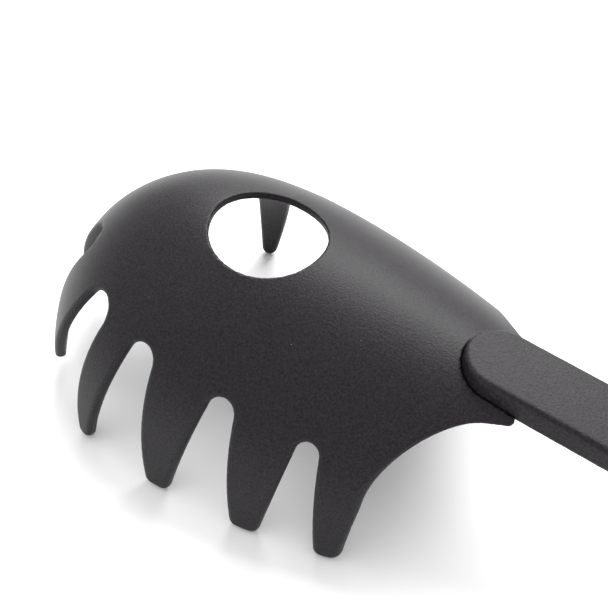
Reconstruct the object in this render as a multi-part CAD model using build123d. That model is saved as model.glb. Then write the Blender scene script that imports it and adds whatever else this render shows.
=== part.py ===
"""Pasta server: a toothed nylon scoop on a long flat handle, lying face down.

The tool rests on its rear and middle tooth tips and on the far end of the handle; the
front tips are a little shorter.  While it is being shaped, x = 0 is the scoop's widest station, -x points at the nose, +x at the handle's
end, y = 0 is the plane of symmetry and z = 0 is the surface that the tool lies on.
At the end everything is shifted so that the origin is the bottom centre of the whole.
All lengths are millimetres, all angles degrees.
"""

import os
from math import acos, asin, atan2, cos, degrees, hypot, pi, radians, sin

from build123d import *

# ---- dome of the scoop -----------------------------------------------------------
nose_length = 44.0          # widest station to the nose
dome_half_width = 35.6      # at the widest station, at the level of the tooth tips
dome_height = 42.8          # above the dome's base plane
base_drop = 1.16            # the base plane lies this far below the tooth tips
dome_pitch = 1.8            # the base plane is tipped nose-up by this much
nose_power = 2.66           # how blunt the nose is
side_power = 1.865          # cross-section: 2 is an ellipse, less is leaner at the rim
crown_power = 2.225
tail_length = 99.0          # length over which the dome would fade into the tail
tail_half_width = 13.2
tail_height = 31.2
tail_width_power = 1.24
tail_height_power = 0.68
crown_wall = 1.6            # thickness of the scoop's wall at the crown
side_wall = 2.1             # and at the teeth

# ---- rim: teeth, slots, rear sweep, neck -----------------------------------------
# (x, y) of each tip on one side, from the nose to the handle end
tips = [(-43.9, 0.0), (-38.8, 19.8), (-22.0, 31.5), (0.1, 35.4), (19.6, 34.65), (36.0, 31.6)]
# slot behind each tip: where its two sides reach the level of the tips beside it, measured
# along the line between the two tips from its middle, then the round top's place along
# that line and its radius
slots = [
    (-6.6, 7.4, 3.0, 3.2),
    (-3.9, 12.0, 7.6, 3.7),
    (-6.1, 9.4, 3.9, 3.0),
    (-6.5, 7.5, 2.6, 2.7),
    (-4.9, 6.1, 2.4, 2.2),
]
slot_top_level = 26.7       # height of the slots' tops at the widest station
slot_top_slope = -0.155     # and how it falls along x, as the handle does
slot_top_inset = 7.5        # the tops lie this far inside the line of the tips
tip_rise_start = -21.5      # ahead of this place the tips rise above the resting plane
tip_rise_slope = 0.3
tip_radius = 1.7            # rounding of each tip's two corners
sweep_foot_x = 38.3         # the rim behind the last tooth starts here
sweep_knee_x = 40.0         # rises to here nearly straight
sweep_knee_z = 13.0
neck_start_x = 53.8         # and curves over into the neck
neck_edge_z = 28.0          # lower edge of the neck where it starts
neck_end_x = 58.0
neck_corner_radius = 1.5
drain_hole_radius = 11.0
drain_hole_x = 2.6

# ---- handle ----------------------------------------------------------------------
handle_front_x = 45.1       # tip of the full-round end that laps over the neck
handle_front_z = 34.9       # height of the top face there
handle_length = 215.0
neck_width = 13.5           # width of the bar where it meets the scoop
neck_depth = 5.0
grip_width = 23.0
grip_depth = 6.4
waist_length = 0.316 * handle_length  # the bar keeps the neck's section this far
flare_length = 0.549 * handle_length  # and widens to the grip over this length
top_edge_radius = 0.9
bottom_edge_radius = 0.7
hanging_hole_radius = 4.0
hanging_hole_setback = 10.5

# ---- joint and the handle's inside -----------------------------------------------
seam_gap = 0.12             # visible seam between the scoop's seat and the handle
slip_gap = 0.1              # clearance of the cover, the strip and the key in the channel
seat_floor = 2.0            # nylon under the handle's end
seat_wall = 1.5             # nylon round the handle's end
seat_pad_width = 8.8        # the pad that carries the screws, hidden under the handle
seat_chamfer = 1.5
channel_start = 1.8         # from the handle's front tip
channel_width = 8.2
channel_roof = 2.2          # nylon above the channel
channel_end_setback = 26.0
strip_thickness = 1.5
strip_end_setback = 30.0
screw_first = 3.9           # first neck screw, from the handle's front tip
screw_pitch = 5.3
screw_count = 2
screw_radius = 1.1
screw_head_radius = 2.2
screw_head_height = 1.2
screw_tip_cover = 1.0       # nylon left above the screws' tips
screw_hole_gap = 0.1
recess_radius = 0.9         # cross recess in a screw's head
recess_width = 0.5
recess_depth = 0.7

skirt_depth = 3.0           # the dome's sides run on straight below its base plane
nose_steps = 10             # stations that the dome's skin passes through
rear_steps = 9
REACH = 200.0               # longer than anything that a cutter has to pass through


# ---- the dome ----------------------------------------------------------------------
def dome_section(x, half_width, height):
    """Closed arched face across the dome at one station."""
    steps = 14
    points = []
    for i in range(steps + 1):
        turn = -pi / 2 + pi * i / steps
        side = -1 if turn < 0 else 1
        y = side * half_width * abs(sin(turn)) ** (2 / side_power)
        z = height * max(cos(turn), 0.0) ** (2 / crown_power)
        points.append((x, y, z))
    arch = Spline(points)
    skirt = Polyline(points[-1], (x, half_width, -skirt_depth), (x, -half_width, -skirt_depth), points[0])
    return make_face([arch, skirt])


def fade(share, power):
    """1 at the widest station, falling smoothly to 0 at the tail."""
    return 0.5 + 0.5 * cos(pi * share**power)


def dome(side_inset, crown_inset):
    """The dome as one solid, its outlines drawn in by these two insets."""
    nose = nose_length - side_inset
    half = dome_half_width - side_inset
    high = dome_height - crown_inset
    sections = []
    for i in range(nose_steps + 1):
        share = max(i / nose_steps, 0.03)
        x = -nose * (1 - share**2)
        rise = 1 - (1 - share**2) ** nose_power
        sections.append(
            dome_section(x, half * rise ** (1 / side_power), high * rise ** (1 / crown_power))
        )
    thin_half = tail_half_width - side_inset
    thin_high = tail_height - crown_inset
    rear_end = neck_end_x + 6.0
    for i in range(1, rear_steps + 1):
        x = rear_end * (i / rear_steps) ** 1.5
        width_share = fade(x / tail_length, tail_width_power)
        height_share = fade(x / tail_length, tail_height_power)
        sections.append(
            dome_section(
                x,
                thin_half + (half - thin_half) * width_share,
                thin_high + (high - thin_high) * height_share,
            )
        )
    return Pos(0, 0, -base_drop) * Rot(0, dome_pitch, 0) * loft(sections)


# ---- cutters for the rim -------------------------------------------------------------
def mirrored(shape):
    return shape + mirror(shape, about=Plane.XZ)


def side_touch(foot, level, centre_x, centre_z, radius, side):
    """Where the line up from a slot's foot touches the slot's round top."""
    across, down = foot - centre_x, level - centre_z
    turn = atan2(down, across) + side * acos(radius / hypot(across, down))
    return (centre_x + radius * cos(turn), centre_z + radius * sin(turn))


def slot_cutter(front_tip, rear_tip, slot):
    """Wedge between two teeth, round at the top, with the tips' corners rounded off."""
    front_foot, rear_foot, lean, radius = slot
    start, end = Vector(*front_tip, 0), Vector(*rear_tip, 0)
    along = (end - start).normalized()
    outward = Vector(-along.Y, along.X, 0)
    middle = (start + end) / 2
    beyond = 2 * (end - start).length
    top_x = middle.X + along.X * lean - outward.X * slot_top_inset
    centre_z = slot_top_level + slot_top_slope * top_x - radius
    front_level, rear_level = tip_level(start.X), tip_level(end.X)
    wedge = Polygon(
        (-beyond, -skirt_depth),
        (-beyond, front_level),
        (front_foot, front_level),
        side_touch(front_foot, front_level, lean, centre_z, radius, -1),
        side_touch(rear_foot, rear_level, lean, centre_z, radius, 1),
        (rear_foot, rear_level),
        (beyond, rear_level),
        (beyond, -skirt_depth),
        align=None,
    )
    outline = wedge + Pos(lean, centre_z) * Circle(radius)
    feet = [v for v in outline.vertices() if -1 < v.Y < centre_z / 2 and abs(v.X) < beyond / 2]
    outline = fillet(feet, tip_radius)
    upright = Plane(origin=middle, x_dir=along, z_dir=along.cross(Vector(0, 0, 1)))
    return extrude(upright * outline, dome_half_width * 0.6, both=True)


def tip_level(x):
    """Height of a tooth's tip: towards the nose the teeth end higher and higher."""
    return max(tip_rise_start - x, 0) * tip_rise_slope


def tip_cutter():
    """Everything below the plane that the tips rest on and its rise under the nose."""
    outline = Polygon(
        (REACH, 0),
        (tip_rise_start, 0),
        (-REACH, tip_level(-REACH)),
        (-REACH, -REACH),
        (REACH, -REACH),
        align=None,
    )
    return extrude(Plane.XZ * outline, REACH, both=True)


def rim_cutter():
    """Everything below the rim behind the last tooth and below the neck's edge."""
    rise = neck_edge_z - sweep_knee_z
    run = neck_start_x - sweep_knee_x
    outline = [
        Line((sweep_foot_x, 0), (sweep_knee_x, sweep_knee_z)),
        EllipticalCenterArc((neck_start_x, sweep_knee_z), run, rise, 90, arc_size=90),
        Line((neck_start_x, neck_edge_z), (REACH, neck_edge_z)),
        Line((REACH, neck_edge_z), (REACH, 0)),
        Line((REACH, 0), (sweep_foot_x, 0)),
    ]
    return extrude(Plane.XZ * make_face(outline), REACH, both=True)


# ---- the handle's own frame and outlines ---------------------------------------------
drop = handle_front_z - bottom_edge_radius
reach = handle_length - bottom_edge_radius
depth = grip_depth - bottom_edge_radius
handle_pitch = degrees(asin(drop / hypot(reach, depth)) - atan2(depth, reach))
# x runs along the bar's top face from its front tip, z is square to that face
bar = Plane(
    origin=(handle_front_x, 0, handle_front_z),
    x_dir=(cos(radians(handle_pitch)), 0, -sin(radians(handle_pitch))),
    z_dir=(sin(radians(handle_pitch)), 0, cos(radians(handle_pitch))),
)
neck_end_u = (neck_end_x - handle_front_x) / cos(radians(handle_pitch))
strip_underside = channel_roof + strip_thickness


def bar_outline(grow=0.0):
    """The handle seen square on: full-round front, narrow waist, wider round grip."""
    half = neck_width / 2 + grow
    grip = grip_width / 2 + grow
    front = neck_width / 2
    back = handle_length - grip_width / 2
    flare_end = waist_length + flare_length
    side = [
        Line((front, half), (waist_length, half)),
        Spline((waist_length, half), (flare_end, grip), tangents=[(1, 0), (1, 0)]),
        Line((flare_end, grip), (back, grip)),
    ]
    other = [mirror(edge, about=Plane.XZ) for edge in side]
    ends = [
        ThreePointArc((front, half), (front - half, 0), (front, -half)),
        ThreePointArc((back, grip), (back + grip, 0), (back, -grip)),
    ]
    return make_face(side + other + ends)


def slot_outline(start, end, width):
    """Long stadium along the bar."""
    return Pos((start + end) / 2, 0) * SlotOverall(end - start, width)


def slab(outline, top, bottom):
    """A plan outline made solid between two depths below the bar's top face."""
    return bar * (Pos(0, 0, -bottom) * extrude(outline, bottom - top))


def depth_profile():
    """Side view of the bar: straight top, underside deepening towards the grip."""
    side = Polygon(
        (-1, 0),
        (handle_length + 1, 0),
        (handle_length + 1, -grip_depth),
        (waist_length, -neck_depth),
        (-1, -neck_depth),
        align=None,
    )
    kink = [v for v in side.vertices() if abs(v.X - waist_length) < 0.01]
    side = fillet(kink, 900)
    return bar * (Plane.XZ * extrude(side, grip_width, both=True))


def screw_stations():
    return [screw_first + screw_pitch * i for i in range(screw_count)]


def pin(station, radius, top, bottom):
    return slab(Pos(station, 0) * Circle(radius), top, bottom)


# ---- the pieces -------------------------------------------------------------------------
def make_scoop_head():
    """Dome shell with teeth, drain hole and a seat that holds the handle's end."""
    outer = dome(0.0, 0.0)
    head = outer - dome(side_wall, crown_wall)
    head -= rim_cutter()
    for i, slot in enumerate(slots):
        head -= mirrored(slot_cutter(tips[i], tips[i + 1], slot))
    head -= tip_cutter()
    head -= Rot(0, dome_pitch, 0) * Pos(drain_hole_x, 0, 0) * Cylinder(drain_hole_radius, REACH)

    floor = neck_depth + seat_floor
    boss = Pos(0, 0, -floor) * extrude(bar_outline(seat_wall), floor + neck_depth)
    boss = bar * chamfer(boss.faces().sort_by(Axis.Z)[0].edges(), seat_chamfer)
    head += (boss & outer) - rim_cutter()
    pad = slot_outline(0, 2 * neck_end_u, seat_pad_width)
    head += slab(pad, neck_depth, floor) & outer
    head -= slab(bar_outline(seam_gap), -REACH / 4, neck_depth)
    key_width = channel_width - 2 * slip_gap
    key_start = channel_start + slip_gap
    key = slot_outline(key_start, 2 * neck_end_u, key_width)
    head += slab(key, strip_underside, neck_depth + seat_floor / 2)

    corner = neck_corner_radius
    behind = Pos(neck_end_x + REACH / 2, 0) * Rectangle(REACH, REACH)
    half_neck = neck_lip_half_width()
    for side in (1, -1):
        square = Pos(neck_end_x - corner / 2, side * (half_neck - corner / 2)) * Rectangle(corner, corner)
        round_corner = Pos(neck_end_x - corner, side * (half_neck - corner)) * Circle(corner)
        behind += square - round_corner
    head -= Pos(0, 0, -REACH / 2) * extrude(behind, REACH)

    for station in screw_stations():
        head -= pin(station, screw_radius + screw_hole_gap, 0, floor + 1)
        head -= countersink(station, screw_hole_gap)
    return head


def neck_lip_half_width():
    """Half-width of the neck at its end, where the dome meets the neck's lower edge."""
    tail = neck_end_x / tail_length
    half = tail_half_width + (dome_half_width - tail_half_width) * fade(tail, tail_width_power)
    high = tail_height + (dome_height - tail_height) * fade(tail, tail_height_power)
    level = neck_edge_z + base_drop + neck_end_x * sin(radians(dome_pitch))
    return half * (1 - (level / high) ** crown_power) ** (1 / side_power)


def countersink(station, gap):
    """Conical seat of a neck screw, open at the underside of the seat's floor."""
    floor = neck_depth + seat_floor
    cone = Cone(screw_head_radius + gap, screw_radius + gap, screw_head_height)
    return bar * Pos(station, 0, -floor + screw_head_height / 2) * cone


def make_handle_body():
    """Flat bar with rounded edges, hollowed from below for the strip and its cover."""
    body = slab(bar_outline(), 0, grip_depth) & depth_profile()
    top = body.faces().filter_by(lambda f: f.normal_at().dot(bar.z_dir) > 0.99)
    body = fillet(top.edges(), top_edge_radius)
    low = body.faces().filter_by(lambda f: f.normal_at().dot(bar.z_dir) < -0.99)
    rim = [e for f in low for e in f.edges() if not is_inner(e, low)]
    body = fillet(rim, bottom_edge_radius)
    channel = slot_outline(channel_start, handle_length - channel_end_setback, channel_width)
    body -= slab(channel, channel_roof, grip_depth + 1)
    station = handle_length - hanging_hole_setback
    body -= pin(station, hanging_hole_radius, -1, grip_depth + 1)
    for station_u in screw_stations():
        body -= pin(station_u, screw_radius, screw_tip_cover, neck_depth)
    return body


def is_inner(edge, faces):
    """An edge that two of these faces share."""
    middle = edge.position_at(0.5)
    return sum(1 for f in faces if f.distance_to(middle) < 1e-3) > 1


def make_core_strip():
    """Flat steel strip along the channel's roof, tapped for the neck screws."""
    width = channel_width - 2 * slip_gap
    start = channel_start + slip_gap
    outline = slot_outline(start, handle_length - strip_end_setback, width)
    strip = slab(outline, channel_roof, strip_underside)
    for station in screw_stations():
        strip -= pin(station, screw_radius, 0, neck_depth)
    return strip


def make_underside_cover():
    """Slim strip that closes the channel flush with the handle's underside."""
    width = channel_width - 2 * slip_gap
    end = handle_length - channel_end_setback - slip_gap
    start = neck_end_u + neck_depth * sin(radians(handle_pitch)) + slip_gap
    outline = slot_outline(start - width, end, width)
    outline &= Pos(start + REACH, 0) * Rectangle(2 * REACH, width)
    return slab(outline, strip_underside, grip_depth) & depth_profile()


def make_neck_screws():
    """Countersunk screws, from under the seat through the strip into the handle."""
    floor = neck_depth + seat_floor
    screws = []
    for station in screw_stations():
        screw = pin(station, screw_radius, screw_tip_cover, floor - screw_head_height / 2)
        screw += countersink(station, 0)
        for turn in (0, 90):
            slit = Rot(0, 0, turn) * Rectangle(2 * recess_radius, recess_width)
            screw -= slab(Pos(station, 0) * slit, floor - recess_depth, floor + 1)
        screws.append(screw)
    return Compound(screws)


def main():
    pieces = {
        "scoop_head": make_scoop_head(),
        "handle_body": make_handle_body(),
        "core_strip": make_core_strip(),
        "underside_cover": make_underside_cover(),
        "neck_screws": make_neck_screws(),
    }
    boxes = [piece.bounding_box() for piece in pieces.values()]
    middle_x = (min(b.min.X for b in boxes) + max(b.max.X for b in boxes)) / 2
    lowest_z = min(b.min.Z for b in boxes)
    os.makedirs("parts", exist_ok=True)
    for name, piece in pieces.items():
        export_step(Pos(-middle_x, 0, -lowest_z) * piece, f"parts/{name}.step")
    print(f"origin shift x {-middle_x:.4f} z {-lowest_z:.4f}, handle pitch {handle_pitch:.3f}")


main()
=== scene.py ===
"""Pasta server: skins and finishes for the scoop, the handle and the small parts.

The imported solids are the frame.  The scoop and the handle get new skins whose edges are
rounded as moulded nylon is; the cover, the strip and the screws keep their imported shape.
A skin is the zero surface of a distance field, negative inside the nylon.  Everything is
in metres, in the frame's own axes: +x runs towards the handle's end and z = 0 is the
surface that the tool lies on.
"""

from math import acos, asin, atan2, cos, hypot, pi, radians, sin

import bpy
import numpy as np
from mathutils import Matrix, Vector


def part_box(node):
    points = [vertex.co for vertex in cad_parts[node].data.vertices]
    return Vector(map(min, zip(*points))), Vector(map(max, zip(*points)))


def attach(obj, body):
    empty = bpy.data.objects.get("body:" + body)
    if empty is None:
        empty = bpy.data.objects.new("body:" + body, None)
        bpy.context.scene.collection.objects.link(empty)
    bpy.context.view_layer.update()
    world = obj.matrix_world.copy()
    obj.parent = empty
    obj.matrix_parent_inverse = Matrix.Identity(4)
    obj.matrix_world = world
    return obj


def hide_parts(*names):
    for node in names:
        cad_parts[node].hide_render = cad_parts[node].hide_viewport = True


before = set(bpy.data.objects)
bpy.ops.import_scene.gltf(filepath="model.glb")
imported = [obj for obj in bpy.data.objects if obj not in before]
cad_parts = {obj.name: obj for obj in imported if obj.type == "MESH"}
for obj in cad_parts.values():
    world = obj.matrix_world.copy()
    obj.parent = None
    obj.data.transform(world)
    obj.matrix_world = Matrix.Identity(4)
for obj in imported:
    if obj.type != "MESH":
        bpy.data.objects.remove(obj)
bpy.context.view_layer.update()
SCOOP_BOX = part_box("scoop_head")
HANDLE_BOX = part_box("handle_body")

# ---- fixed small values, in metres where they are lengths --------------------------
DOME_STEP = 1e-5         # step for the dome's slope
SLOPE_STEP = 2e-6        # step for a field's slope
SETTLE_ROUNDS = 5        # moves of each point towards the surface
SETTLE_REACH = 0.4       # longest move, in cells
LEAST_SLOPE = 0.05       # least square of a slope that a move divides by
MARGIN_CELLS = 2.5       # empty cells round a skin
KEY_GAP = 0.0002         # total side play of the seat's key
KEY_DEPTH = 0.001        # how far the key runs on into the seat's floor
KEY_END = 0.05           # the key runs past the neck's end, which cuts it
SCREW_EDGE = 0.00012     # rounding of the screw holes' edges
CHANNEL_EDGE = 0.0002    # rounding of the channel's edges
CONE_SLOPE = 0.7         # keeps the countersinks' field close to a true distance
GRAIN_HEIGHT = 0.0001    # height of the nylon's grain
FLOOR_HALF = 3.0         # half the floor's side
FLOOR_GAP = 0.0002       # keeps the floor clear of the tips

bl_info = {
    "name": "Pasta server",
    "version": (1, 0, 0),
    "blender": (4, 5, 0),
    "location": "3D View > Sidebar > Pasta Server",
    "description": "Builds a moulded nylon pasta server around its packed solids",
    "category": "Add Mesh",
}


# ---- settings ----------------------------------------------------------------------
def length(name, description, default):
    return bpy.props.FloatProperty(
        name=name, description=description, default=default, subtype="DISTANCE", unit="LENGTH", precision=5
    )


def angle(name, description, degrees):
    return bpy.props.FloatProperty(
        name=name, description=description, default=radians(degrees), subtype="ANGLE", unit="ROTATION"
    )


def number(name, description, default):
    return bpy.props.FloatProperty(name=name, description=description, default=default, precision=4)


def colour(name, description, default):
    return bpy.props.FloatVectorProperty(
        name=name, description=description, default=default, size=3, min=0.0, max=1.0, subtype="COLOR"
    )


class ScoopSettings(bpy.types.PropertyGroup):
    """The scoop's dome, its rim and its edges."""

    nose_length: length("Nose length", "Widest station to the nose along the dome", 0.044)
    half_width: length("Half width", "Half the dome's width at its base", 0.0356)
    height: length("Height", "Height of the dome above its base plane", 0.0428)
    base_drop: length("Base drop", "How far the base plane lies below the tips", 0.00116)
    pitch: angle("Dome pitch", "How far the base plane is tipped nose-up", 1.8)
    nose_power: number("Nose power", "How blunt the nose is", 2.66)
    side_power: number("Side power", "Roundness of the sides, 2 is an ellipse", 1.865)
    crown_power: number("Crown power", "Roundness of the crown, 2 is an ellipse", 2.225)
    tail_length: length("Tail length", "Length over which the dome fades into the tail", 0.099)
    tail_half_width: length("Tail half width", "Half width that the dome fades to", 0.0132)
    tail_height: length("Tail height", "Height that the dome fades to", 0.0312)
    tail_width_power: number("Tail width power", "Where along the tail the width fades", 1.24)
    tail_height_power: number("Tail height power", "Where along the tail the height fades", 0.68)
    side_wall: length("Side wall", "Thickness of the wall at the teeth", 0.0021)
    crown_wall: length("Crown wall", "Thickness of the wall at the crown", 0.0016)
    slot_top: length("Slot tops", "Height of the slots' tops at the widest station", 0.0267)
    slot_slope: number("Slot slope", "How the slots' tops fall along x", -0.155)
    slot_inset: length("Slot inset", "How far inside the tips' line the slots' tops lie", 0.0075)
    tip_rise_start: length("Tip rise start", "Ahead of this place the tips rise", -0.0215)
    tip_rise_slope: number("Tip rise slope", "How steeply they rise towards the nose", 0.3)
    tip_radius: length("Tip radius", "Rounding of a tip's two corners", 0.0017)
    sweep_foot: length("Sweep foot", "Place of the rim behind the last tooth", 0.0383)
    sweep_knee: length("Sweep knee", "Place where the rim starts to curve over", 0.04)
    sweep_knee_height: length("Knee height", "Height of that knee", 0.013)
    neck_start: length("Neck start", "Place where the neck's lower edge starts", 0.0538)
    neck_edge: length("Neck edge", "Height of the neck's lower edge", 0.028)
    neck_end: length("Neck end", "Place of the neck's end", 0.058)
    neck_corner: length("Neck corner", "Rounding of the neck's two corners", 0.0015)
    hole_radius: length("Drain hole radius", "Radius of the round drain hole", 0.011)
    hole_place: length("Drain hole place", "Place of the hole's axis along the dome", 0.0026)
    outer_edge: length("Outer edge", "Rounding of the rim on the outside", 0.0012)
    inner_edge: length("Inner edge", "Rounding of the rim on the inside", 0.00055)
    hole_edge: length("Hole edge", "Rounding of the drain hole's edges", 0.00035)
    seat_edge: length("Seat edge", "Rounding of the seat's lower edge", 0.0012)
    seat_fillet: length("Seat fillet", "Filling between the seat and the dome", 0.0008)
    seat_inset: length("Seat inset", "Least depth of the pad under the dome's surface", 0.0003)
    pad_edge: length("Pad edge", "Rounding of the screw pad's edges", 0.0004)
    pocket_edge: length("Pocket edge", "Rounding where the dome meets the handle", 0.00035)
    cell: length("Cell", "Size of a face of the skin", 0.00046)


class HandleSettings(bpy.types.PropertyGroup):
    """The flat bar and the seat that holds its front end."""

    front: length("Front", "Place of the bar's round front end", 0.0451)
    front_height: length("Front height", "Height of the top face there", 0.0349)
    bar_length: length("Length", "Length of the bar", 0.215)
    neck_width: length("Neck width", "Width of the bar at the scoop", 0.0135)
    neck_depth: length("Neck depth", "Depth of the bar at the scoop", 0.005)
    grip_width: length("Grip width", "Width of the grip", 0.023)
    grip_depth: length("Grip depth", "Depth of the bar at its end", 0.0064)
    waist: length("Waist", "Length over which the bar keeps the neck's section", 0.06794)
    flare: length("Flare", "Length over which it widens to the grip", 0.118035)
    top_edge: length("Top edge", "Rounding of the top face's edge", 0.0009)
    bottom_edge: length("Bottom edge", "Rounding of the underside's edge", 0.0007)
    hole_radius: length("Hanging hole radius", "Radius of the hanging hole", 0.004)
    hole_setback: length("Hole setback", "From the bar's end to the hole's axis", 0.0105)
    hole_edge: length("Hole edge", "Rounding of the hanging hole's edges", 0.0006)
    seam: length("Seam", "Gap between the seat and the bar", 0.00012)
    seat_wall: length("Seat wall", "Nylon round the bar's end", 0.0015)
    seat_floor: length("Seat floor", "Nylon under the bar's end", 0.002)
    pad_width: length("Pad width", "Width of the pad that carries the screws", 0.0088)
    channel_start: length("Channel start", "From the bar's front tip", 0.0018)
    channel_setback: length("Channel setback", "From the channel's end to the bar's end", 0.026)
    channel_width: length("Channel width", "Width of the channel in the underside", 0.0082)
    channel_roof: length("Channel roof", "Nylon above the channel", 0.0022)
    key_top: length("Key top", "Depth of the top of the seat's key", 0.0037)
    screw_first: length("First screw", "From the bar's front tip", 0.0039)
    screw_pitch: length("Screw pitch", "From one neck screw to the next", 0.0053)
    screw_radius: length("Screw hole radius", "Radius of a screw's hole", 0.0012)
    head_radius: length("Countersink radius", "Radius of a countersink at its mouth", 0.0023)
    head_height: length("Countersink height", "Depth of a countersink", 0.0012)
    cell: length("Cell", "Size of a face of the skin", 0.0005)


class FinishSettings(bpy.types.PropertyGroup):
    """Colours of the nylon and of the steel."""

    nylon: colour("Nylon", "Body colour of the moulded nylon", (0.0042, 0.0032, 0.0042))
    nylon_pale: colour("Pale grain", "Colour of the grain's high spots", (0.0190, 0.0160, 0.0190))
    dust: colour("Dust", "Colour of the finest specks", (0.30, 0.29, 0.28))
    steel: colour("Steel", "Colour of the strip and the screws", (0.62, 0.62, 0.64))
    floor: colour("Floor", "Colour of the floor", (0.94, 0.94, 0.945))


class StageSettings(bpy.types.PropertyGroup):
    """Camera and light."""

    azimuth: angle("Azimuth", "Camera's bearing about the tool", 32.082)
    elevation: angle("Elevation", "Camera's height angle", 44.532)
    roll: angle("Roll", "Camera's roll", 0.596)
    camera_along: length("Camera along", "Camera from the scoop's middle, along x", 0.08371)
    camera_across: length("Camera across", "Camera from the scoop's middle, along y", -0.11495)
    camera_height: length("Camera height", "Camera above the floor", 0.15894)
    lens: number("Lens", "Focal length in millimetres on a 36 mm sensor", 59.21)
    sky: number("Sky", "Strength of the even light all round", 1.0)


# ---- distance fields ---------------------------------------------------------------
def round_and(a, b, radius):
    """What is in both solids, with the edge between them rounded."""
    over = np.hypot(np.maximum(a + radius, 0.0), np.maximum(b + radius, 0.0))
    return np.minimum(-radius, np.maximum(a, b)) + over


def round_or(a, b, radius):
    """What is in either solid, with the corner between them filled."""
    return -round_and(-a, -b, radius)


def fade(share, power):
    """1 at the widest station, falling smoothly to 0 at the tail."""
    return 0.5 + 0.5 * np.cos(pi * np.clip(share, 0.0, 1.0) ** power)


def dome_level(s, x, y, z, side_inset, crown_inset):
    """Below 0 inside the dome, in the dome's own axes."""
    half, high = s.half_width - side_inset, s.height - crown_inset
    thin_half, thin_high = s.tail_half_width - side_inset, s.tail_height - crown_inset
    share = x / s.tail_length
    width = thin_half + (half - thin_half) * fade(share, s.tail_width_power)
    height = thin_high + (high - thin_high) * fade(share, s.tail_height_power)
    nose = np.maximum(-x, 0.0) / (s.nose_length - side_inset)
    bulk = nose**s.nose_power + (y / width) ** s.side_power
    bulk += (np.maximum(z, 0.0) / height) ** s.crown_power
    return np.sqrt(np.maximum(bulk, 1e-6)) - 1.0


def dome_distance(s, x, y, z, side_inset, crown_inset):
    """Distance to the dome's surface, good to first order."""
    step = DOME_STEP
    here = dome_level(s, x, y, z, side_inset, crown_inset)
    slopes = [
        dome_level(s, x + step, y, z, side_inset, crown_inset) - here,
        dome_level(s, x, y + step, z, side_inset, crown_inset) - here,
        dome_level(s, x, y, z + step, side_inset, crown_inset) - here,
    ]
    return here * step / np.sqrt(sum(slope * slope for slope in slopes))


# (x, y) of each tooth's tip on one side, from the nose to the handle end
TIPS = (
    (-0.0439, 0.0),
    (-0.0388, 0.0198),
    (-0.022, 0.0315),
    (0.0001, 0.0354),
    (0.0196, 0.03465),
    (0.036, 0.0316),
)
# slot behind each tip: front foot, rear foot and round top's place along the line between
# the two tips, measured from its middle, and the top's radius
SLOTS = (
    (-0.0066, 0.0074, 0.003, 0.0032),
    (-0.0039, 0.012, 0.0076, 0.0037),
    (-0.0061, 0.0094, 0.0039, 0.003),
    (-0.0065, 0.0075, 0.0026, 0.0027),
    (-0.0049, 0.0061, 0.0024, 0.0022),
)


def tip_level(s, x):
    """Height of the teeth's tips, which rise towards the nose."""
    return np.maximum(s.tip_rise_start - x, 0.0) * s.tip_rise_slope


def slot_distance(s, front_tip, rear_tip, slot, x, y, z):
    """Below 0 inside the gap between two teeth: two straight sides under a round top."""
    front_foot, rear_foot, lean, radius = slot
    span = hypot(rear_tip[0] - front_tip[0], rear_tip[1] - front_tip[1])
    along = ((rear_tip[0] - front_tip[0]) / span, (rear_tip[1] - front_tip[1]) / span)
    middle = ((front_tip[0] + rear_tip[0]) / 2, (front_tip[1] + rear_tip[1]) / 2)
    top_x = middle[0] + along[0] * lean + along[1] * s.slot_inset
    centre = s.slot_top + s.slot_slope * top_x - radius
    across = (x - middle[0]) * along[0] + (y - middle[1]) * along[1] - lean
    up = z - centre
    normals = []
    for foot, tip, side in ((rear_foot, rear_tip, 1), (front_foot, front_tip, -1)):
        foot_x, foot_z = foot - lean, float(tip_level(s, tip[0])) - centre
        turn = atan2(foot_z, foot_x) + side * acos(radius / hypot(foot_x, foot_z))
        normals.append((cos(turn), sin(turn)))
    (rear_x, rear_z), (front_x, front_z) = normals
    sides = np.maximum(across * rear_x + up * rear_z, across * front_x + up * front_z)
    over_rear = rear_x * up - rear_z * across > 0
    over_front = across * front_z - up * front_x > 0
    return np.where(over_rear & over_front, np.hypot(across, up), sides) - radius


def rim_cut(s, x, z):
    """Above 0 behind the last tooth and under the neck: a quarter ellipse between lines."""
    run, rise = s.neck_start - s.sweep_knee, s.neck_edge - s.sweep_knee_height
    lean = (s.sweep_knee - s.sweep_foot) / s.sweep_knee_height
    across = np.minimum(x + np.maximum(s.sweep_knee_height - z, 0.0) * lean - s.neck_start, 0.0) / run
    up = np.maximum(z - s.sweep_knee_height, 0.0) / rise
    reach = np.hypot(across, up)
    return (1.0 - reach) * np.maximum(reach, 1e-9) / np.maximum(np.hypot(across / run, up / rise), 1e-9)


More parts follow.
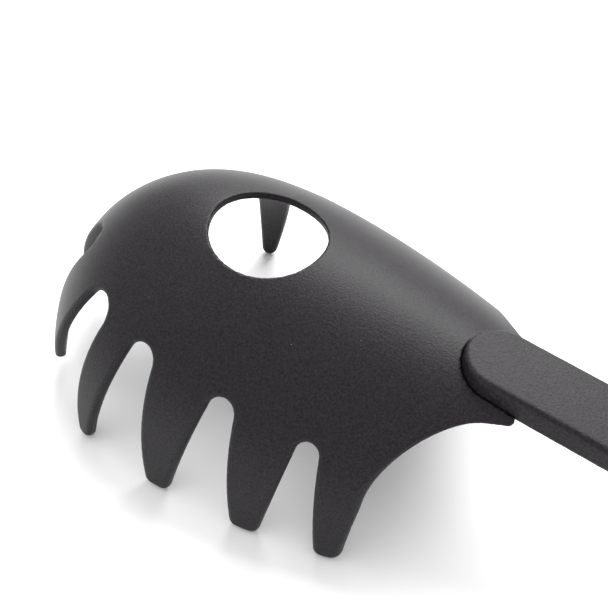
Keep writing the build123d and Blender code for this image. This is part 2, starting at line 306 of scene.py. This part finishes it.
class Bar:
    """The handle's own axes: u along its top face, v across, n down from that face."""

    def __init__(self, h, widest):
        drop = h.front_height - h.bottom_edge
        reach = h.bar_length - h.bottom_edge
        depth = h.grip_depth - h.bottom_edge
        self.h = h
        self.pitch = asin(drop / hypot(reach, depth)) - atan2(depth, reach)
        self.origin = (widest + h.front, h.front_height)

    def place(self, x, z):
        """u and n of a point."""
        dx, dz = x - self.origin[0], z - self.origin[1]
        return dx * cos(self.pitch) - dz * sin(self.pitch), -dx * sin(self.pitch) - dz * cos(self.pitch)

    def outline(self, u, v):
        """Below 0 inside the bar seen square on: round front, slim waist, wider round grip."""
        h = self.h
        neck, grip = h.neck_width / 2, h.grip_width / 2
        share = np.clip((u - h.waist) / h.flare, 0.0, 1.0)
        half = neck + (grip - neck) * share * share * (3.0 - 2.0 * share)
        back = h.bar_length - grip
        overhang = np.where(u < neck, neck - u, np.maximum(u - back, 0.0))
        return np.hypot(overhang, v) - half

    def stadium(self, u, v, start, end, width):
        """Below 0 inside a long slot with round ends."""
        half = width / 2
        overhang = np.maximum(np.maximum(start + half - u, u - end + half), 0.0)
        return np.hypot(overhang, v) - half


def screw_holes(h, u, v, n):
    """Below 0 inside the countersunk holes in the seat's floor."""
    floor = h.neck_depth + h.seat_floor
    share = np.clip((n - floor + h.head_height) / h.head_height, 0.0, None)
    radius = h.screw_radius + (h.head_radius - h.screw_radius) * share
    first = np.hypot(u - h.screw_first, v)
    second = np.hypot(u - h.screw_first - h.screw_pitch, v)
    return (np.minimum(first, second) - radius) * CONE_SLOPE


def scoop_field(s, h, bar, widest, x, y, z):
    """Below 0 inside the scoop's nylon."""
    y = np.abs(y)
    u, n = bar.place(x, z)
    x = x - widest
    lifted = z + s.base_drop
    dome_x = x * cos(s.pitch) - lifted * sin(s.pitch)
    dome_z = x * sin(s.pitch) + lifted * cos(s.pitch)
    outer = dome_distance(s, dome_x, y, dome_z, 0.0, 0.0)
    inner = dome_distance(s, dome_x, y, dome_z, s.side_wall, s.crown_wall)

    cut = rim_cut(s, x, z)
    for i, slot in enumerate(SLOTS):
        cut = np.maximum(cut, -slot_distance(s, TIPS[i], TIPS[i + 1], slot, x, y, z))
    cut = round_and(cut, tip_level(s, x) - z, s.tip_radius)
    outline = bar.outline(u, y)
    seat = round_and(outline - h.seat_wall, n - h.neck_depth - h.seat_floor, s.seat_edge)
    hollow = round_and(inner, -seat, s.seat_fillet)
    nylon = round_and(round_and(outer, cut, s.outer_edge), -hollow, s.inner_edge)
    pad = bar.stadium(u, y, 0.0, h.bar_length, h.pad_width)
    pad = np.maximum(round_and(pad, n - h.neck_depth - h.seat_floor, s.pad_edge), h.neck_depth - n)
    nylon = round_or(nylon, np.maximum(pad, outer + s.seat_inset), s.pad_edge)
    drain = s.hole_radius - np.hypot(dome_x - s.hole_place, y)
    nylon = round_and(nylon, drain, s.hole_edge)
    nylon = round_and(nylon, -np.maximum(outline - h.seam, n - h.neck_depth), s.pocket_edge)
    key = bar.stadium(u, y, h.channel_start, KEY_END, h.channel_width - KEY_GAP)
    key = np.maximum(key, h.key_top - n)
    nylon = np.minimum(nylon, np.maximum(key, n - h.neck_depth - KEY_DEPTH))
    nylon = round_and(nylon, x - s.neck_end, s.neck_corner * 0.5)
    return round_and(nylon, -np.maximum(screw_holes(h, u, y, n), -n), SCREW_EDGE)


def handle_field(h, bar, x, y, z):
    """Below 0 inside the bar's nylon."""
    u, n = bar.place(x, z)
    deepening = (h.grip_depth - h.neck_depth) / (h.bar_length - h.waist)
    depth = h.neck_depth + np.maximum(u - h.waist, 0.0) * deepening
    nylon = round_and(bar.outline(u, y), -n, h.top_edge)
    nylon = round_and(nylon, n - depth, h.bottom_edge)
    end = h.bar_length - h.channel_setback
    channel = bar.stadium(u, y, h.channel_start, end, h.channel_width)
    nylon = round_and(nylon, -np.maximum(channel, h.channel_roof - n), CHANNEL_EDGE)
    hanging = h.hole_radius - np.hypot(u - h.bar_length + h.hole_setback, y)
    return round_and(nylon, hanging, h.hole_edge)


# ---- skins -------------------------------------------------------------------------
CORNERS = [(i, j, k) for i in (0, 1) for j in (0, 1) for k in (0, 1)]


def crossing_points(values, low, cell):
    """One point in each grid cell that the surface passes through, and the cells' numbers."""
    inside = values < 0
    sizes = [side - 1 for side in values.shape]

    def corner(grid, i, j, k):
        return grid[i : i + sizes[0], j : j + sizes[1], k : k + sizes[2]]

    count = sum(corner(inside, *c).astype(np.int8) for c in CORNERS)
    cells = np.argwhere((count > 0) & (count < 8))
    total = np.zeros((len(cells), 3))
    hits = np.zeros(len(cells))
    for start in CORNERS:
        for axis in range(3):
            if start[axis]:
                continue
            end = list(start)
            end[axis] = 1
            a = values[tuple((cells + start).T)]
            b = values[tuple((cells + end).T)]
            crossed = (a < 0) != (b < 0)
            share = np.where(crossed, a / np.where(crossed, a - b, 1.0), 0.0)
            point = np.tile(np.array(start, float), (len(cells), 1))
            point[:, axis] = share
            total += point * crossed[:, None]
            hits += crossed
    return low + (cells + total / hits[:, None]) * cell, cells


def crossing_faces(values, cells):
    """A four-sided face across each grid edge that the surface crosses, facing out."""
    inside = values < 0
    number_of = np.full(values.shape, -1, np.int64)
    number_of[tuple(cells.T)] = np.arange(len(cells))
    faces = []
    for axis in range(3):
        first, second = (axis + 1) % 3, (axis + 2) % 3
        ahead = np.roll(inside, -1, axis)
        edges = np.argwhere(inside != ahead)
        edges = edges[edges[:, axis] < values.shape[axis] - 1]
        ring = []
        for back_first, back_second in ((0, 0), (1, 0), (1, 1), (0, 1)):
            corner = edges.copy()
            corner[:, first] -= back_first
            corner[:, second] -= back_second
            ring.append(number_of[tuple(corner.T)])
        quads = np.stack(ring, 1)
        entering = ahead[tuple(edges.T)]
        quads[entering] = quads[entering][:, ::-1]
        faces.append(quads)
    return np.concatenate(faces)


def slopes_of(field, points):
    """Gradient of a field at some points."""
    step = SLOPE_STEP
    result = np.empty_like(points)
    for axis in range(3):
        shift = np.zeros(3)
        shift[axis] = step
        ahead, behind = (points + shift).T, (points - shift).T
        result[:, axis] = (field(*ahead) - field(*behind)) / (2 * step)
    return result


def settle(field, points, cell):
    """The points moved onto the field's zero surface, and the surface's normals there."""
    for _ in range(SETTLE_ROUNDS):
        slopes = slopes_of(field, points)
        squares = np.maximum((slopes**2).sum(1), LEAST_SLOPE)
        move = (field(*points.T) / squares)[:, None] * slopes
        size = np.linalg.norm(move, axis=1, keepdims=True)
        points = points - move * np.minimum(1.0, SETTLE_REACH * cell / np.maximum(size, 1e-12))
    slopes = slopes_of(field, points)
    return points, slopes / np.maximum(np.linalg.norm(slopes, axis=1, keepdims=True), 1e-9)


def skin(name, field, low, high, cell):
    """A mesh object on the field's zero surface, inside the box from low to high."""
    half_steps = int(np.ceil(high[1] / cell)) + 1
    xs = np.arange(low[0] - MARGIN_CELLS * cell, high[0] + MARGIN_CELLS * cell, cell)
    ys = (np.arange(-half_steps, half_steps) + 0.5) * cell
    zs = np.arange(low[2] - MARGIN_CELLS * cell, high[2] + MARGIN_CELLS * cell, cell)
    values = np.empty((len(xs), len(ys), len(zs)))
    near = ys[half_steps:]
    for i, x in enumerate(xs):
        across, up = np.meshgrid(near, zs, indexing="ij")
        half = field(np.full_like(across, x), across, up)
        values[i, half_steps:] = half
        values[i, :half_steps] = half[::-1]
    points, cells = crossing_points(values, np.array((xs[0], ys[0], zs[0])), cell)
    points, normals = settle(field, points, cell)
    points = np.clip(points, np.array(low), np.array(high))
    faces = crossing_faces(values, cells)
    mesh = bpy.data.meshes.new(name)
    mesh.from_pydata(points.tolist(), [], faces.tolist())
    mesh.validate()
    mesh.shade_smooth()
    mesh.normals_split_custom_set_from_vertices(normals.tolist())
    piece = bpy.data.objects.new(name, mesh)
    bpy.context.scene.collection.objects.link(piece)
    return piece


# ---- finishes ----------------------------------------------------------------------
def group_with(name, inputs, outputs):
    """An empty node group with number inputs and outputs, and its two end nodes."""
    group = bpy.data.node_groups.new(name, "ShaderNodeTree")
    for label, default in inputs:
        socket = group.interface.new_socket(label, in_out="INPUT", socket_type="NodeSocketFloat")
        socket.default_value = default
    for label in outputs:
        group.interface.new_socket(label, in_out="OUTPUT", socket_type="NodeSocketFloat")
    return group, group.nodes.new("NodeGroupInput"), group.nodes.new("NodeGroupOutput")


def node(tree, kind, links=(), **settings):
    """A node with its settings made; links are (input, source socket or number) pairs."""
    made = tree.nodes.new(kind)
    for key, value in settings.items():
        setattr(made, key, value)
    for key, source in links:
        if isinstance(source, bpy.types.NodeSocket):
            tree.links.new(source, made.inputs[key])
        else:
            made.inputs[key].default_value = source
    return made


def grain_group():
    """Fine moulded grain: a mask of its high spots and its height."""
    group, start, end = group_with(
        "Moulded grain", (("Scale", 3000.0), ("Sharpness", 0.18)), ("Pale spots", "Height", "Cloud")
    )
    place = node(group, "ShaderNodeTexCoord").outputs["Object"]
    fine = node(
        group,
        "ShaderNodeTexNoise",
        (("Vector", place), ("Scale", start.outputs["Scale"]), ("Detail", 2.0), ("Roughness", 0.6)),
    )
    low = node(group, "ShaderNodeMath", ((0, 0.5), (1, start.outputs["Sharpness"])), operation="SUBTRACT")
    high = node(group, "ShaderNodeMath", ((0, 0.5), (1, start.outputs["Sharpness"])), operation="ADD")
    spots = node(
        group,
        "ShaderNodeMapRange",
        (("Value", fine.outputs["Fac"]), ("From Min", low.outputs[0]), ("From Max", high.outputs[0])),
    )
    cloud = node(
        group,
        "ShaderNodeTexNoise",
        (("Vector", place), ("Scale", 55.0), ("Detail", 3.0), ("Roughness", 0.5)),
    )
    group.links.new(spots.outputs[0], end.inputs["Pale spots"])
    group.links.new(fine.outputs["Fac"], end.inputs["Height"])
    group.links.new(cloud.outputs["Fac"], end.inputs["Cloud"])
    return group


def dust_group():
    """A few fine specks of dust."""
    inputs = (("Scale", 900.0), ("Size", 0.06), ("Share", 0.03))
    group, start, end = group_with("Dust specks", inputs, ("Specks",))
    place = node(group, "ShaderNodeTexCoord").outputs["Object"]
    cells = node(group, "ShaderNodeTexVoronoi", (("Vector", place), ("Scale", start.outputs["Scale"])))
    small = node(
        group,
        "ShaderNodeMath",
        ((0, cells.outputs["Distance"]), (1, start.outputs["Size"])),
        operation="LESS_THAN",
    )
    pick = node(group, "ShaderNodeSeparateColor", (("Color", cells.outputs["Color"]),))
    few = node(
        group,
        "ShaderNodeMath",
        ((0, pick.outputs["Red"]), (1, start.outputs["Share"])),
        operation="LESS_THAN",
    )
    both = node(group, "ShaderNodeMath", ((0, small.outputs[0]), (1, few.outputs[0])), operation="MULTIPLY")
    group.links.new(both.outputs[0], end.inputs["Specks"])
    return group


def shared(name, builder):
    """The node group of that name, built the first time it is wanted."""
    return bpy.data.node_groups.get(name) or builder()


def blank_material(name):
    """A material with only a Principled shader, and that shader."""
    made = bpy.data.materials.new(name)
    made.use_nodes = True
    made.node_tree.nodes.clear()
    shader = node(made.node_tree, "ShaderNodeBsdfPrincipled")
    node(made.node_tree, "ShaderNodeOutputMaterial", (("Surface", shader.outputs["BSDF"]),))
    return made, shader


def nylon(finish, name, grain_scale, bump, roughness):
    """Charcoal moulded nylon with a fine grain and a few specks of dust."""
    made, shader = blank_material(name)
    tree = made.node_tree
    grain = node(tree, "ShaderNodeGroup", node_tree=shared("Moulded grain", grain_group))
    grain.inputs["Scale"].default_value = grain_scale
    dust = node(tree, "ShaderNodeGroup", node_tree=shared("Dust specks", dust_group))
    body = mix_colours(tree, grain.outputs["Pale spots"], (*finish.nylon, 1), (*finish.nylon_pale, 1))
    dusty = mix_colours(tree, dust.outputs["Specks"], body, (*finish.dust, 1))
    tree.links.new(dusty, shader.inputs["Base Color"])
    rough = node(
        tree,
        "ShaderNodeMapRange",
        (("Value", grain.outputs["Cloud"]), ("To Min", roughness - 0.05), ("To Max", roughness + 0.05)),
    )
    tree.links.new(rough.outputs[0], shader.inputs["Roughness"])
    relief = node(
        tree,
        "ShaderNodeBump",
        (("Height", grain.outputs["Height"]), ("Strength", bump), ("Distance", GRAIN_HEIGHT)),
    )
    tree.links.new(relief.outputs["Normal"], shader.inputs["Normal"])
    shader.inputs["Specular IOR Level"].default_value = 0.2
    return made


def mix_colours(tree, factor_socket, first, second):
    """The colour socket of a mix between two colours."""
    made = tree.nodes.new("ShaderNodeMix")
    made.data_type = "RGBA"
    tree.links.new(factor_socket, made.inputs[0])
    for place, source in ((6, first), (7, second)):
        if isinstance(source, bpy.types.NodeSocket):
            tree.links.new(source, made.inputs[place])
        else:
            made.inputs[place].default_value = source
    return made.outputs[2]


def brushed_steel(finish, name):
    """Plain steel with fine brushing along the bar."""
    made, shader = blank_material(name)
    tree = made.node_tree
    place = node(tree, "ShaderNodeTexCoord").outputs["Object"]
    stretched = node(tree, "ShaderNodeMapping", (("Vector", place), ("Scale", (60.0, 5000.0, 5000.0))))
    lines = node(
        tree, "ShaderNodeTexNoise", (("Vector", stretched.outputs[0]), ("Scale", 1.0), ("Detail", 2.0))
    )
    dark = tuple(0.8 * c for c in finish.steel)
    tree.links.new(
        mix_colours(tree, lines.outputs["Fac"], (*dark, 1), (*finish.steel, 1)), shader.inputs["Base Color"]
    )
    spread = (("Value", lines.outputs["Fac"]), ("To Min", 0.28), ("To Max", 0.42))
    rough = node(tree, "ShaderNodeMapRange", spread)
    tree.links.new(rough.outputs[0], shader.inputs["Roughness"])
    shader.inputs["Metallic"].default_value = 1.0
    return made


def floor_material(finish):
    """Plain pale floor."""
    made, shader = blank_material("Floor")
    tree = made.node_tree
    place = node(tree, "ShaderNodeTexCoord").outputs["Object"]
    cloud = node(tree, "ShaderNodeTexNoise", (("Vector", place), ("Scale", 3.0)))
    lighter = tuple(min(1.0, 1.01 * c) for c in finish.floor)
    shade = mix_colours(tree, cloud.outputs["Fac"], (*finish.floor, 1), (*lighter, 1))
    tree.links.new(shade, shader.inputs["Base Color"])
    shader.inputs["Roughness"].default_value = 0.9
    shader.inputs["Specular IOR Level"].default_value = 0.1
    return made


def dress(piece, material):
    """The piece with that material alone."""
    piece.data.materials.clear()
    piece.data.materials.append(material)


# ---- operators ---------------------------------------------------------------------
class BuildScoop(bpy.types.Operator):
    """Build the scoop's skin: dome, teeth, drain hole and seat"""

    bl_idname = "pasta.build_scoop"
    bl_label = "Scoop"

    def execute(self, context):
        scene = context.scene
        s, h = scene.scoop, scene.handle
        low, high = SCOOP_BOX
        widest = high.x - s.neck_end
        bar = Bar(h, widest)

        def field(x, y, z):
            return scoop_field(s, h, bar, widest, x, y, z)

        piece = skin("scoop_shell", field, low, high, s.cell)
        dress(piece, nylon(scene.finish, "Scoop nylon", 2600.0, 0.6, 0.42))
        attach(piece, "root")
        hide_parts("scoop_head")
        return {"FINISHED"}


class BuildHandle(bpy.types.Operator):
    """Build the handle's skin with its channel and hanging hole"""

    bl_idname = "pasta.build_handle"
    bl_label = "Handle"

    def execute(self, context):
        scene = context.scene
        h = scene.handle
        low, high = HANDLE_BOX
        bar = Bar(h, SCOOP_BOX[1].x - scene.scoop.neck_end)

        def field(x, y, z):
            return handle_field(h, bar, x, y, z)

        piece = skin("handle_bar", field, low, high, h.cell)
        dress(piece, nylon(scene.finish, "Handle nylon", 2300.0, 0.8, 0.46))
        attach(piece, "root")
        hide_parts("handle_body")
        return {"FINISHED"}


class FinishSmallParts(bpy.types.Operator):
    """Give the cover, the strip and the screws their finishes"""

    bl_idname = "pasta.finish_small_parts"
    bl_label = "Cover, strip and screws"

    def execute(self, context):
        finish = context.scene.finish
        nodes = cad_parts
        dress(nodes["underside_cover"], nylon(finish, "Cover nylon", 2600.0, 0.4, 0.5))
        dress(nodes["core_strip"], brushed_steel(finish, "Strip steel"))
        dress(nodes["neck_screws"], brushed_steel(finish, "Screw steel"))
        return {"FINISHED"}


def softbox(name, place, target, size, power):
    """A rectangular area light at a place, facing a target."""
    lamp = bpy.data.lights.new(name, "AREA")
    lamp.shape = "RECTANGLE"
    lamp.size, lamp.size_y = size
    lamp.energy = power
    made = bpy.data.objects.new(name, lamp)
    made.location = place
    made.rotation_euler = (Vector(target) - Vector(place)).to_track_quat("-Z", "Y").to_euler()
    bpy.context.scene.collection.objects.link(made)
    return made


class BuildStage(bpy.types.Operator):
    """Build the floor, the camera and the studio light"""

    bl_idname = "pasta.build_stage"
    bl_label = "Floor, camera and light"

    def execute(self, context):
        scene = context.scene
        stage = scene.stage
        mesh = bpy.data.meshes.new("floor")
        corners = [(FLOOR_HALF * x, FLOOR_HALF * y, 0) for x, y in ((-1, -1), (1, -1), (1, 1), (-1, 1))]
        mesh.from_pydata(corners, [], [(0, 1, 2, 3)])
        floor = bpy.data.objects.new("floor", mesh)
        floor.location.z = -FLOOR_GAP
        scene.collection.objects.link(floor)
        dress(floor, floor_material(scene.finish))

        widest = SCOOP_BOX[1].x - scene.scoop.neck_end
        lamps = [
            softbox("key", (-0.25, 0.75, 0.85), (widest, 0, 0.02), (1.0, 0.8), 21.0),
            softbox("fill", (-0.7, -0.5, 0.9), (widest, 0, 0.02), (0.8, 0.8), 1.0),
        ]

        sky = bpy.data.worlds.new("Studio")
        sky.use_nodes = True
        background = sky.node_tree.nodes["Background"]
        background.inputs["Color"].default_value = (1, 1, 1, 1)
        background.inputs["Strength"].default_value = stage.sky
        scene.world = sky
        scene.view_settings.view_transform = "Standard"

        camera = bpy.data.cameras.new("Camera")
        camera.sensor_width = 36.0
        camera.lens = stage.lens
        camera.clip_start, camera.clip_end = 0.01, 20.0
        view = bpy.data.objects.new("Camera", camera)
        azimuth, elevation, roll = stage.azimuth, stage.elevation, stage.roll
        back = Vector((sin(azimuth) * cos(elevation), -cos(azimuth) * cos(elevation), sin(elevation)))
        level = Vector((cos(azimuth), sin(azimuth), 0.0))
        up = back.cross(level)
        right = level * cos(roll) + up * sin(roll)
        upright = -level * sin(roll) + up * cos(roll)
        turn = Matrix((right, upright, back)).transposed().to_4x4()
        place = (widest + stage.camera_along, stage.camera_across, stage.camera_height)
        view.matrix_world = Matrix.Translation(place) @ turn
        scene.collection.objects.link(view)
        scene.camera = view
        return {"FINISHED"}


class PastaServerPanel(bpy.types.Panel):
    """The pasta server's settings and the steps that build it"""

    bl_idname = "VIEW3D_PT_pasta_server"
    bl_label = "Pasta Server"
    bl_space_type = "VIEW_3D"
    bl_region_type = "UI"
    bl_category = "Pasta Server"

    def draw(self, context):
        for operator in OPERATORS:
            self.layout.operator(operator.bl_idname)
        for name, group in SETTINGS.items():
            box = self.layout.box()
            box.label(text=name.capitalize())
            for setting in group.__annotations__:
                box.prop(getattr(context.scene, name), setting)


SETTINGS = {
    "scoop": ScoopSettings,
    "handle": HandleSettings,
    "finish": FinishSettings,
    "stage": StageSettings,
}
OPERATORS = (BuildScoop, BuildHandle, FinishSmallParts, BuildStage)


def register():
    for name, group in SETTINGS.items():
        bpy.utils.register_class(group)
        setattr(bpy.types.Scene, name, bpy.props.PointerProperty(type=group))
    for item in (*OPERATORS, PastaServerPanel):
        bpy.utils.register_class(item)


def unregister():
    for item in (PastaServerPanel, *reversed(OPERATORS)):
        bpy.utils.unregister_class(item)
    for name, group in reversed(SETTINGS.items()):
        delattr(bpy.types.Scene, name)
        bpy.utils.unregister_class(group)


def main():
    """Build everything in order."""
    register()
    for operator in OPERATORS:
        family, step = operator.bl_idname.split(".")
        getattr(getattr(bpy.ops, family), step)()


if __name__ == "__main__":
    main()
